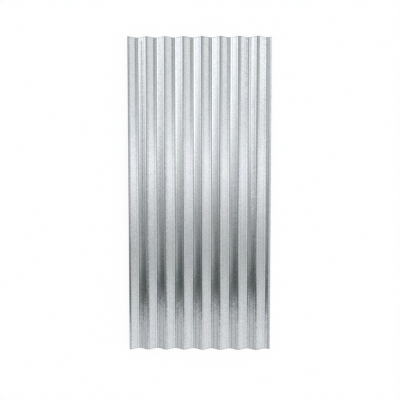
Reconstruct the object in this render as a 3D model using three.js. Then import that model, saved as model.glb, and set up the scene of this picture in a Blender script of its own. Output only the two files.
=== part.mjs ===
// Corrugated galvanised steel sheet, roll-formed from one flat blank and lying face up.
// Millimetres, +Z up. The waves run along Y and follow each other along X.
// The origin is the centre of the footprint, on the surface that the valleys lie on.

import * as THREE from "three";

// Driving dimensions. Sizes of the wave are taken at the middle of the metal.
const PITCH = 76.2; // crest to crest: the three-inch wave
const DEPTH = 18; // valley to crest
const THICKNESS = 0.5; // steel and zinc together
const LENGTH = 1304; // along the waves
const WAVES = 8; // each one is a crest with a valley on its right
const LEFT_LIP = 2; // first crest out to the left edge, which turns down
const RIGHT_LIP = 19.5; // last valley out to the right edge, which turns up

// The wave, from a crest down to a valley. Slopes are in degrees.
const CREST_WIDTH = 3; // level land on top
const CREST_RADIUS = 4;
const SHOULDER_SLOPE = 12.5;
const SHOULDER_WIDTH = 3.2; // narrow land beside the crest
const SHOULDER_RADIUS = 6;
const KNEE_RADIUS = 8; // halfway down, where the flank turns less steep
const LOWER_SLOPE = 19.5;
const LOWER_WIDTH = 10.3; // flank below the knee
const VALLEY_RADIUS = 10;

// Facets of each bend
const CREST_FACETS = 2;
const SHOULDER_FACETS = 4;
const KNEE_FACETS = 3;
const VALLEY_FACETS = 5; // odd, so the middle facet is level

// Finish
const ZINC_COLOUR = 0xb8bdc1;
const ZINC_ROUGHNESS = 0.35;
const ZINC_METALNESS = 0.9;

// Unit steps from a point on metal that falls to the right: out of its top, and down along it.
const outward = (slope) => new THREE.Vector2(Math.sin(slope), Math.cos(slope));
const downhill = (slope) => new THREE.Vector2(Math.cos(slope), -Math.sin(slope));

// Stations on the middle of the metal around one bend.
// side is +1 where the centre is below the metal and -1 where it is above.
function bendStations(centre, side, radius, fromSlope, toSlope, facets) {
  const stations = [];
  for (let i = 0; i <= facets; i++) {
    const slope = THREE.MathUtils.lerp(fromSlope, toSlope, i / facets);
    const point = centre.clone().addScaledVector(outward(slope), side * radius);
    stations.push({ x: point.x, z: point.y, slope });
  }
  return stations;
}

// Half a wave, from the crest at x = 0 down to the valley at z = 0.
function halfWave() {
  const shoulder = THREE.MathUtils.degToRad(SHOULDER_SLOPE);
  const lower = THREE.MathUtils.degToRad(LOWER_SLOPE);
  const crestCentre = new THREE.Vector2(CREST_WIDTH / 2, DEPTH - CREST_RADIUS);
  const shoulderCentre = crestCentre
    .clone()
    .addScaledVector(outward(shoulder), CREST_RADIUS - SHOULDER_RADIUS)
    .addScaledVector(downhill(shoulder), SHOULDER_WIDTH);
  const valleyCentre = new THREE.Vector2(PITCH / 2, VALLEY_RADIUS);
  const kneeCentre = valleyCentre
    .clone()
    .addScaledVector(outward(lower), KNEE_RADIUS - VALLEY_RADIUS)
    .addScaledVector(downhill(lower), -LOWER_WIDTH);

  // The upper flank is the tangent that passes between the circles of the shoulder and the knee.
  const apart = kneeCentre.clone().sub(shoulderCentre);
  const radii = SHOULDER_RADIUS + KNEE_RADIUS;
  const upperWidth = Math.sqrt(apart.lengthSq() - radii ** 2);
  const upper = Math.atan2(radii, upperWidth) - Math.atan2(apart.y, apart.x);

  // Only half of the valley's facets belong here, up to the edge of the level one.
  const levelEdge = lower / VALLEY_FACETS;
  return [
    ...bendStations(crestCentre, 1, CREST_RADIUS, 0, shoulder, CREST_FACETS),
    ...bendStations(shoulderCentre, 1, SHOULDER_RADIUS, shoulder, upper, SHOULDER_FACETS),
    ...bendStations(kneeCentre, -1, KNEE_RADIUS, upper, lower, KNEE_FACETS),
    ...bendStations(valleyCentre, -1, VALLEY_RADIUS, lower, levelEdge, (VALLEY_FACETS - 1) / 2),
  ];
}

// The station where the metal is sheared off, between the two stations around x.
function cutStation(stations, x) {
  const next = stations.findIndex((station) => station.x > x);
  const a = stations[next - 1];
  const b = stations[next];
  const share = (x - a.x) / (b.x - a.x);
  return {
    x,
    z: THREE.MathUtils.lerp(a.z, b.z, share),
    slope: THREE.MathUtils.lerp(a.slope, b.slope, share),
  };
}

// The middle of the metal from edge to edge, with the first crest at x = 0. The wave goes on past
// both edges as far as the lips need, and is cut there. A slope is negative where the metal climbs.
function middleLine() {
  const half = halfWave();
  const firstWave = -Math.ceil(LEFT_LIP / PITCH);
  const lastWave = WAVES - 1 + Math.ceil(RIGHT_LIP / PITCH);
  const endless = [];
  for (let wave = firstWave; wave <= lastWave; wave++) {
    const crestX = wave * PITCH;
    const climb = half.map(({ x, z, slope }) => ({ x: crestX - x, z, slope: -slope }));
    const fall = half.map(({ x, z, slope }) => ({ x: crestX + x, z, slope }));
    endless.push(...climb.reverse(), ...fall);
  }
  const left = cutStation(endless, -LEFT_LIP);
  const right = cutStation(endless, (WAVES - 0.5) * PITCH + RIGHT_LIP);
  const between = endless.filter((station) => station.x > left.x && station.x < right.x);
  return [left, ...between, right];
}

// The section: the middle line pushed out by half the thickness on both sides, square to the metal,
// so the sheet is equally thick on flanks and bends and its edges are sheared square.
function sectionShape() {
  const face = (side) => ({ x, z, slope }) =>
    new THREE.Vector2(x, z).addScaledVector(outward(slope), (side * THICKNESS) / 2);
  const line = middleLine();
  const underside = line.map(face(-1));
  const top = line.map(face(1)).reverse();
  return new THREE.Shape([...underside, ...top]);
}

// The section is drawn in XY, drawn out to the sheet's length, and turned to lie along Y.
function sheetGeometry() {
  const geometry = new THREE.ExtrudeGeometry(sectionShape(), {
    depth: LENGTH,
    steps: 1,
    bevelEnabled: false,
  });
  geometry.rotateX(Math.PI / 2);
  geometry.center();
  geometry.computeBoundingBox();
  geometry.translate(0, 0, -geometry.boundingBox.min.z);
  return geometry;
}

const galvanisedSteel = new THREE.MeshStandardMaterial({
  name: "galvanised_steel",
  color: ZINC_COLOUR,
  roughness: ZINC_ROUGHNESS,
  metalness: ZINC_METALNESS,
});

const sheet = new THREE.Mesh(sheetGeometry(), galvanisedSteel);
sheet.name = "corrugated_sheet";

const part = new THREE.Group();
part.name = "corrugated_metal_sheet";
part.add(sheet);

export default part;
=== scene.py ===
import math
from collections import namedtuple

import bpy
from mathutils import Matrix, Vector


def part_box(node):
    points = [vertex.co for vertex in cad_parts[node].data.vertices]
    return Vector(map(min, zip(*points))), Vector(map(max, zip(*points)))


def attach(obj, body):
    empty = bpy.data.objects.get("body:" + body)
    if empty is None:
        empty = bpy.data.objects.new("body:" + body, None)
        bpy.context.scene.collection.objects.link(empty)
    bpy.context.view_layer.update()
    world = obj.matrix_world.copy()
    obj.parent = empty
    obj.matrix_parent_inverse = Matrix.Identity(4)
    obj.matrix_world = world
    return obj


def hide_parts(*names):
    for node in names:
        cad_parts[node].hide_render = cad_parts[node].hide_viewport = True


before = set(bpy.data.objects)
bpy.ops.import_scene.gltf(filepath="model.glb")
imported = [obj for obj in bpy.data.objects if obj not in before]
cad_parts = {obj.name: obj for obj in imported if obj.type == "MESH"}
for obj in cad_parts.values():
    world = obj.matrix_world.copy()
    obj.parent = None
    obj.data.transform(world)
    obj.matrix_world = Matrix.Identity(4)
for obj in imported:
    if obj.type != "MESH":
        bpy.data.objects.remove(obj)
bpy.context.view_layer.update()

# Metres. +X crosses the waves, +Y runs along them, +Z is up out of the front face.

SHEET = "corrugated_sheet"
LOW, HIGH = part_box(SHEET)

# The wave, from a crest down to a valley, at the middle of the metal. It is the section of the solid
# with smooth bends.
PITCH = 0.0762
THICKNESS = 0.0005
DEPTH = HIGH.z - LOW.z - THICKNESS
LEFT_LIP = 0.002  # first crest out to the left edge
CREST_WIDTH = 0.003  # level land on top
CREST_RADIUS = 0.004
SHOULDER_SLOPE = math.radians(12.5)
SHOULDER_WIDTH = 0.0032  # narrow land beside the crest
SHOULDER_RADIUS = 0.006
KNEE_RADIUS = 0.008
LOWER_SLOPE = math.radians(19.5)
LOWER_WIDTH = 0.0103  # flank below the knee
VALLEY_RADIUS = 0.01

# Fineness of the visible mesh
STEP = 0.0012  # along the section
BEND_STEPS = 4  # fewest steps on a bend
ROWS = 64  # steps from end to end
SHARP = math.radians(40)  # edges that turn more than this stay sharp

# Zinc
ZINC = (0.768, 0.783, 0.817)
HUE = 0.04  # how far its red, green and blue wander either way, as a share
HUE_ACROSS, HUE_ALONG = 0.03, 0.2  # how far apart these casts of hue are
CLOUDS = 9.0  # broad clouds, per metre
CLOUD_TINT = 0.06  # how far clouds differ in brightness
SPANGLE = 0.004  # width of one crystal
SPANGLE_TINT = 0.18  # how far crystals differ in brightness
SPANGLE_TILT = 0.009  # how far crystals lean, as a slope
ROUGHNESS_FINE, ROUGHNESS_COARSE = 0.06, 0.14  # the smoothest and the roughest zinc
GRAINS = 900.0  # finer grains of roughness, per metre
GRAIN_SHARE = 0.3  # how much of the roughness they decide; crystals decide the rest
ROLL_LINE = 0.004  # spacing of the faint lines along the waves
ROLL_LINE_CHANGES = 1.2  # how often a line changes on its way, per metre
ROLL_LINE_DEPTH = 0.000006  # how deep the lines are as grooves
ROLL_LINE_TINT = 0.15  # how far the lines differ in brightness
# Lines of painted highlight and painted shade beside the bends of each wave: distance from the
# crest, width, and how much lighter the zinc is
PAINTED_BEND_LINES = (
    (0.0032, 0.0025, 0.14),
    (0.0063, 0.0025, -0.2),
    (0.0297, 0.003, -0.2),
    (0.0342, 0.0025, 0.12),
    (0.0387, 0.003, -0.18),
    (0.0432, 0.0035, 0.2),
    (0.0485, 0.0035, -0.18),
    (0.0525, 0.0025, 0.08),
    (0.057, 0.006, 0.1),
    (0.0645, 0.0025, -0.2),
    (0.0695, 0.0025, 0.1),
    (0.0737, 0.003, -0.2),
)
MILL_EDGE = 0.0085  # width of the dull band along the edge that was the edge of the coil
MILL_EDGE_FADE = 0.0034  # how softly the band ends
MILL_EDGE_ROUGHNESS = 0.45
EDGE_SHADE_WIDTH = 0.006  # width of the painted shade along the left edge, where the metal turns down
EDGE_SHADE_DEPTH = 0.3  # how much darker the painted shade is at the very edge
SWAY = 0.012  # how far the rolled metal leans this way and that from wave to wave, as a slope
SWAY_ACROSS, SWAY_ALONG = 0.09, 0.5  # how far apart these leans are
END_SHADE_WIDTH = 0.003  # width of the painted shade along both cut ends
END_SHADE_DEPTH = 0.6  # how much darker the painted shade is at the very end

# Floor
FLOOR_REACH = 40.0  # from the middle to each side
FLOOR_DROP = 0.0002  # clear space between the floor and the valleys
FLOOR_PAINT = 0.3  # how light its paint is
FLOOR_GLOW = 0.785  # what the floor adds where it is seen, so that it stays pale in a dim studio

# Camera, fitted to the corners of the photographed sheet and to the ends of its waves
CAMERA_AT = (0.02486, 0.06785, 1.8532)
CAMERA_AIM = (0.00109, -0.01951, 0.0)
CAMERA_NEAR, CAMERA_FAR = 0.01, 200  # what is nearer or farther isn't drawn
FRAME_PIXELS = 400
FOCAL_PIXELS = 441.5
SENSOR_MM = 36


def new_object(name, data):
    """An object that is in the scene."""
    made = bpy.data.objects.new(name, data)
    bpy.context.scene.collection.objects.link(made)
    return made


# --- the sheet -----------------------------------------------------------------------------------

# A point on the middle of the metal, and the slope at which the metal falls to the right there
Station = namedtuple("Station", "x z slope")


def outward(slope):
    """Unit step out of the top of metal that falls to the right."""
    return Vector((math.sin(slope), math.cos(slope)))


def downhill(slope):
    """Unit step along metal that falls to the right."""
    return Vector((math.cos(slope), -math.sin(slope)))


def bend(centre, side, radius, start, end):
    """Stations around one bend; side is 1 if its centre is below the metal, else -1."""
    steps = max(BEND_STEPS, round(radius * abs(end - start) / STEP))
    stations = []
    for i in range(steps + 1):
        slope = start + (end - start) * i / steps
        point = centre + side * radius * outward(slope)
        stations.append(Station(point.x, point.y, slope))
    return stations


def half_wave():
    """Stations from the crest at x = 0 down to the valley at z = 0."""
    crest = Vector((CREST_WIDTH / 2, DEPTH - CREST_RADIUS))
    shoulder = crest + (CREST_RADIUS - SHOULDER_RADIUS) * outward(SHOULDER_SLOPE)
    shoulder += SHOULDER_WIDTH * downhill(SHOULDER_SLOPE)
    valley = Vector((PITCH / 2, VALLEY_RADIUS))
    knee = valley + (KNEE_RADIUS - VALLEY_RADIUS) * outward(LOWER_SLOPE)
    knee -= LOWER_WIDTH * downhill(LOWER_SLOPE)

    # The upper flank is the tangent that passes between the circles of the shoulder and the knee.
    apart = knee - shoulder
    radii = SHOULDER_RADIUS + KNEE_RADIUS
    upper_width = math.sqrt(apart.length_squared - radii**2)
    upper_slope = math.atan2(radii, upper_width) - math.atan2(apart.y, apart.x)
    return [
        *bend(crest, 1, CREST_RADIUS, 0, SHOULDER_SLOPE),
        *bend(shoulder, 1, SHOULDER_RADIUS, SHOULDER_SLOPE, upper_slope),
        *bend(knee, -1, KNEE_RADIUS, upper_slope, LOWER_SLOPE),
        *bend(valley, -1, VALLEY_RADIUS, LOWER_SLOPE, 0),
    ]


def endless_line(width):
    """The middle of the metal with the first crest at x = 0, past both edges of a sheet so wide."""
    half = half_wave()
    line = []
    for wave in range(math.ceil(width / PITCH) + 1):
        crest = wave * PITCH
        line += [Station(crest - x, z, -slope) for x, z, slope in reversed(half[:-1])]
        line += [Station(crest + x, z, slope) for x, z, slope in half]
    return line


def blend(a, b, share):
    """The station at a share of the way from a to b."""
    return Station(*(p + (q - p) * share for p, q in zip(a, b)))


def cut(line, x):
    """The station of a line at x."""
    after = next(i for i, station in enumerate(line) if station.x > x)
    a, b = line[after - 1], line[after]
    return blend(a, b, (x - a.x) / (b.x - a.x))


def fill(line):
    """The line with its flat lands divided into steps."""
    filled = [line[0]]
    for a, b in zip(line, line[1:]):
        steps = max(1, round(math.dist(a[:2], b[:2]) / STEP))
        filled += [blend(a, b, i / steps) for i in range(1, steps + 1)]
    return filled


def section():
    """The middle of the metal from edge to edge. Its sheared edges meet the sides of the box."""
    line = endless_line(HIGH.x - LOW.x)
    left = cut(line, -LEFT_LIP)
    # Half the thickness leans out past the middle of the metal at both edges.
    first_crest = LOW.x + LEFT_LIP - THICKNESS / 2 * math.sin(left.slope)
    right_side = HIGH.x - first_crest
    right = cut(line, right_side + THICKNESS / 2 * math.sin(cut(line, right_side).slope))
    between = [station for station in line if left.x < station.x < right.x]
    return [
        Station(first_crest + x, LOW.z + THICKNESS / 2 + z, slope)
        for x, z, slope in fill([left, *between, right])
    ]


def face_points(line, side, y):
    """The points of one face at y; side is 1 for the top and -1 for the underside."""
    push = side * THICKNESS / 2
    return [(x + push * math.sin(slope), y, z + push * math.cos(slope)) for x, z, slope in line]


def sheet_mesh():
    """One closed mesh: a ring around the section for each row, and the two sheared ends."""
    line = section()
    ring = 2 * len(line)
    verts = []
    for row in range(ROWS + 1):
        y = LOW.y + (HIGH.y - LOW.y) * row / ROWS
        verts += face_points(line, 1, y)
        verts += reversed(face_points(line, -1, y))
    faces = []
    for row in range(ROWS):
        near = row * ring
        far = near + ring
        for i in range(ring):
            j = (i + 1) % ring
            faces.append((near + i, near + j, far + j, far + i))
    last = ROWS * ring
    for top in range(len(line) - 1):
        under = ring - 1 - top
        faces.append((top, under, under - 1, top + 1))
        faces.append((last + top, last + top + 1, last + under - 1, last + under))
    mesh = bpy.data.meshes.new("sheet")
    mesh.from_pydata(verts, [], faces)
    mesh.validate()
    mesh.shade_smooth()
    mesh.set_sharp_from_angle(angle=SHARP)
    return mesh


# --- node trees ----------------------------------------------------------------------------------

class Tree:
    """A node tree, written one node at a time. A value is a socket, a number or a tuple."""

    def __init__(self, tree):
        self.tree = tree
        tree.nodes.clear()

    def node(self, kind, inputs=None, **settings):
        made = self.tree.nodes.new(kind)
        for name, value in settings.items():
            setattr(made, name, value)
        for key, value in (inputs or {}).items():
            if isinstance(value, bpy.types.NodeSocket):
                self.tree.links.new(value, made.inputs[key])
            else:
                made.inputs[key].default_value = value
        return made

    def math(self, operation, a, b=0.0, c=0.0):
        return self.node("ShaderNodeMath", {0: a, 1: b, 2: c}, operation=operation).outputs[0]

    def vector(self, operation, a, b=(0, 0, 0)):
        return self.node("ShaderNodeVectorMath", {0: a, 1: b}, operation=operation).outputs[0]

    def scale(self, a, factor):
        made = self.node("ShaderNodeVectorMath", {0: a, "Scale": factor}, operation="SCALE")
        return made.outputs[0]

    def fade(self, value, start, end):
        """0 at start, 1 at end, smoothly in between."""
        made = self.node(
            "ShaderNodeMapRange",
            {"Value": value, "From Min": start, "From Max": end},
            interpolation_type="SMOOTHSTEP",
        )
        return made.outputs["Result"]

    def mix(self, factor, a, b):
        made = self.node("ShaderNodeMix", {"Factor": factor, "A": a, "B": b}, data_type="FLOAT")
        return made.outputs["Result"]

    def noise(self, place, across, along, detail, roughness=0.5):
        """Noise with so many spots per metre across the waves and along them."""
        spots = self.vector("MULTIPLY", place, (across, along, across))
        return self.node(
            "ShaderNodeTexNoise",
            {"Vector": spots, "Scale": 1.0, "Detail": detail, "Roughness": roughness},
        )

    def vary(self, value, spread):
        """A factor around 1, which rises by the spread as the value goes from 0 to 1."""
        return self.math("MULTIPLY_ADD", value, spread, 1 - spread / 2)

    def darken(self, value, shade):
        """A factor that falls from 1 by the shade as the value goes from 0 to 1."""
        return self.math("MULTIPLY_ADD", value, -shade, 1.0)

    def swing(self, values, most):
        """Three values between -most and most, from three between 0 and 1."""
        return self.scale(self.vector("SUBTRACT", values, (0.5, 0.5, 0.5)), 2 * most)


def new_material(name):
    material = bpy.data.materials.new(name)
    material.use_nodes = True
    return material, Tree(material.node_tree)


# --- zinc ----------------------------------------------------------------------------------------

def painted_line_factor(t, x):
    """How bright the painted highlight and shade lines beside the bends are at x, as a factor."""
    from_crest = t.math("FLOORED_MODULO", t.math("SUBTRACT", x, LOW.x + LEFT_LIP), PITCH)
    factor = 1.0
    for centre, width, lighter in PAINTED_BEND_LINES:
        away = t.math("ABSOLUTE", t.math("SUBTRACT", from_crest, centre))
        factor = t.math("MULTIPLY_ADD", t.fade(away, width, 0.0), lighter, factor)
    return factor


def zinc_shade(t, place, x, y, chance, lines):
    """How bright the zinc is, as a factor: all that makes it lighter or darker, with painted shade
    along the ends and the left edge, and painted highlight and shade lines beside the bends.
    """
    cloud = t.noise(place, CLOUDS, CLOUDS, detail=3.0, roughness=0.55).outputs["Fac"]
    # Painted shade along both cut ends
    sheared = t.fade(t.math("ABSOLUTE", y), HIGH.y - END_SHADE_WIDTH, HIGH.y)
    # Painted shade along the left edge, where the metal turns down
    edge_shade = t.fade(x, LOW.x + EDGE_SHADE_WIDTH, LOW.x)
    shade = t.math("MULTIPLY", t.vary(chance, SPANGLE_TINT), t.vary(cloud, CLOUD_TINT))
    shade = t.math("MULTIPLY", shade, t.vary(lines, ROLL_LINE_TINT))
    shade = t.math("MULTIPLY", shade, t.darken(sheared, END_SHADE_DEPTH))
    # Painted highlight and painted shade in lines beside the bends of each wave
    shade = t.math("MULTIPLY", shade, painted_line_factor(t, x))
    return t.math("MULTIPLY", shade, t.darken(edge_shade, EDGE_SHADE_DEPTH))


def zinc_colour(t, place, shade):
    """The colour of the zinc at a shade, with its faint casts of hue."""
    casts = t.noise(place, 1 / HUE_ACROSS, 1 / HUE_ALONG, detail=1.0).outputs["Color"]
    hue = t.vector("ADD", t.swing(casts, HUE), (1, 1, 1))
    return t.vector("MULTIPLY", t.scale(ZINC, shade), hue)


def zinc_roughness(t, place, x, chance):
    """Crystals are rougher or smoother, with finer grains in them, and the mill edge is dull."""
    grains = t.noise(place, GRAINS, GRAINS, detail=2.0).outputs["Fac"]
    coarse = t.math("MULTIPLY", chance, 1 - GRAIN_SHARE)
    coarse = t.math("MULTIPLY_ADD", grains, GRAIN_SHARE, coarse)
    roughness = t.mix(coarse, ROUGHNESS_FINE, ROUGHNESS_COARSE)
    inner = HIGH.x - MILL_EDGE
    mill_edge = t.fade(x, inner - MILL_EDGE_FADE / 2, inner + MILL_EDGE_FADE / 2)
    return t.mix(mill_edge, roughness, MILL_EDGE_ROUGHNESS)


def zinc_normal(t, place, chances, lines):
    """Crystals lean each its own way, the waves aren't quite alike, and the lines are grooves."""
    slow = t.noise(place, 1 / SWAY_ACROSS, 1 / SWAY_ALONG, detail=1.0).outputs["Color"]
    lean = t.vector("ADD", t.swing(chances, SPANGLE_TILT), t.swing(slow, SWAY))
    rolled = t.node(
        "ShaderNodeBump", {"Height": lines, "Strength": 1.0, "Distance": ROLL_LINE_DEPTH}
    ).outputs["Normal"]
    return t.vector("NORMALIZE", t.vector("ADD", rolled, lean))


def zinc_material():
    material, t = new_material("galvanised_steel")
    place = t.node("ShaderNodeTexCoord").outputs["Object"]
    axes = t.node("ShaderNodeSeparateXYZ", {"Vector": place}).outputs
    x, y = axes["X"], axes["Y"]

    # Each crystal has three chances of its own. The first sets its shade, the second its roughness,
    # and all three its lean.
    crystal = t.node("ShaderNodeTexVoronoi", {"Vector": place, "Scale": 1 / SPANGLE})
    chances = crystal.outputs["Color"]
    chance = t.node("ShaderNodeSeparateColor", {"Color": chances}).outputs
    # The rolls leave faint lines along the waves.
    lines = t.noise(place, 1 / ROLL_LINE, ROLL_LINE_CHANGES, detail=1.5).outputs["Fac"]

    shade = zinc_shade(t, place, x, y, chance["Red"], lines)
    shader = t.node(
        "ShaderNodeBsdfPrincipled",
        {
            "Base Color": zinc_colour(t, place, shade),
            "Metallic": 1.0,
            "Roughness": zinc_roughness(t, place, x, chance["Green"]),
            "Normal": zinc_normal(t, place, chances, lines),
        },
    )
    t.node("ShaderNodeOutputMaterial", {"Surface": shader.outputs["BSDF"]})
    return material


# --- studio --------------------------------------------------------------------------------------

# The studio around the sheet, by direction: "across" is the lean to the right from straight up, and
# "along" the lean towards +Y, both in degrees. Each patch is painted over the ones before it:
# (across from, across to, softness), (along from, along to, softness), brightness.
ROOM = 0.85
FILL = (0.0, 0.016, 0.009)  # faint cool light from everywhere
PATCHES = (
    ((30, 90, 15), (-1, 5, 14), 1.1),  # right: bright band on the wall
    ((26, 90, 10), (-15, -5, 12), 0.55),  # right: shadow above the sweep
    ((25, 43, 10), (8, 90, 15), 0.5),  # right: dark curtain
    ((45, 55, 4), (10, 90, 5), 1.2),  # right: strip light
    ((76, 90, 4), (10, 90, 8), 1.1),  # right: outer soft box
    ((-32, 17, 6), (-90, 90, 1), 0.45),  # above: dark room
    ((-90, -45, 5), (12, 90, 10), 1.05),  # left: soft box
    ((-62, -50, 5), (8, 90, 20), 1.35),  # left: outer strip light
    ((-45, -34, 5), (-90, 90, 1), 1.2),  # left: inner strip light
    ((-90, -8, 6), (-25, -3, 26), 0.065),  # left: gap above the sweep
    ((-49, -31, 10), (-12, -4, 8), 0.42),  # left: foot of the inner strip light
    ((-65, -58, 5), (-4, 9, 8), 1.0),  # left: foot of the outer strip light
    ((-10, 20, 5), (-20, -5, 14), 0.3),  # above: darker below
    ((-5, 3, 10), (-2, 9, 12), 1.1),  # above: panel beside the lens
    ((3, 10, 4), (-12, 2, 12), 0.75),  # above: foot of the panel
    ((-17, -11, 4), (-11, 90, 8), 0.7),  # left: post
    ((-90, -30, 3), (-90, -16, 4), 0.57),  # left: sweep
    ((-32, 20, 4), (-90, -17.5, 3), 0.7),  # above: sweep
    ((11, 19, 4), (-19, -9, 7), 0.08),  # above: stand
)


def window(t, value, low, high, softness):
    """1 between low and high and 0 beyond them, with edges as wide as softness."""
    centre, half = (low + high) / 2, (high - low) / 2
    away = t.math("ABSOLUTE", t.math("SUBTRACT", value, centre))
    return t.fade(away, half + softness / 2, half - softness / 2)


def studio_world():
    world = bpy.data.worlds.new("studio")
    bpy.context.scene.world = world
    world.use_nodes = True
    t = Tree(world.node_tree)
    sky = t.node("ShaderNodeTexCoord").outputs["Generated"]
    lean = t.node("ShaderNodeSeparateXYZ", {"Vector": sky}).outputs
    across = t.math("DEGREES", t.math("ARCTAN2", lean["X"], lean["Z"]))
    along = t.math("DEGREES", t.math("ARCSINE", lean["Y"]))
    level = ROOM
    for across_span, along_span, brightness in PATCHES:
        inside = t.math(
            "MULTIPLY", window(t, across, *across_span), window(t, along, *along_span)
        )
        level = t.mix(inside, level, brightness)
    # The camera sees plain white where the floor ends.
    level = t.mix(t.node("ShaderNodeLightPath").outputs["Is Camera Ray"], level, 1.0)
    grey = t.node("ShaderNodeCombineXYZ", {0: level, 1: level, 2: level}).outputs[0]
    light = t.vector("ADD", grey, FILL)
    background = t.node("ShaderNodeBackground", {"Color": light, "Strength": 1.0})
    t.node("ShaderNodeOutputWorld", {"Surface": background.outputs["Background"]})


def floor_material():
    material, t = new_material("floor_white")
    path = t.node("ShaderNodeLightPath").outputs
    seen = t.math("MAXIMUM", path["Is Camera Ray"], path["Is Glossy Ray"])
    seen = t.math("MAXIMUM", seen, path["Is Transmission Ray"])
    glow_strength = t.math("MULTIPLY", seen, FLOOR_GLOW)
    paint = t.node("ShaderNodeBsdfDiffuse", {"Color": (FLOOR_PAINT, FLOOR_PAINT, FLOOR_PAINT, 1)})
    glow = t.node("ShaderNodeEmission", {"Color": (1, 1, 1, 1), "Strength": glow_strength})
    white = t.node("ShaderNodeAddShader", {0: paint.outputs[0], 1: glow.outputs[0]})
    # Clear from below, so that the underside of the sheet can be looked at.
    clear = t.node("ShaderNodeBsdfTransparent")
    below = t.node("ShaderNodeNewGeometry").outputs["Backfacing"]
    both = t.node("ShaderNodeMixShader", {0: below, 1: white.outputs[0], 2: clear.outputs[0]})
    t.node("ShaderNodeOutputMaterial", {"Surface": both.outputs[0]})
    return material


def studio_floor():
    corners = [(-1, -1), (1, -1), (1, 1), (-1, 1)]
    verts = [(FLOOR_REACH * x, FLOOR_REACH * y, LOW.z - FLOOR_DROP) for x, y in corners]
    mesh = bpy.data.meshes.new("floor")
    mesh.from_pydata(verts, [], [(0, 1, 2, 3)])
    mesh.materials.append(floor_material())
    floor = new_object("floor", mesh)


# --- camera --------------------------------------------------------------------------------------

def photograph_camera():
    data = bpy.data.cameras.new("camera")
    data.sensor_width = SENSOR_MM
    data.lens = SENSOR_MM * FOCAL_PIXELS / FRAME_PIXELS
    data.clip_start = CAMERA_NEAR
    data.clip_end = CAMERA_FAR
    back = (Vector(CAMERA_AT) - Vector(CAMERA_AIM)).normalized()
    right = Vector((0, 1, 0)).cross(back).normalized()
    up = back.cross(right)
    turn = Matrix((right, up, back)).transposed().to_4x4()
    camera = new_object("camera", data)
    camera.matrix_world = Matrix.Translation(CAMERA_AT) @ turn
    bpy.context.scene.camera = camera


# --- the scene -----------------------------------------------------------------------------------

photograph_camera()
studio_world()
studio_floor()

sheet = new_object("zinc_sheet", sheet_mesh())
sheet.data.materials.append(zinc_material())
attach(sheet, "root")
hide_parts(SHEET)

bpy.context.scene.view_settings.view_transform = "Standard"
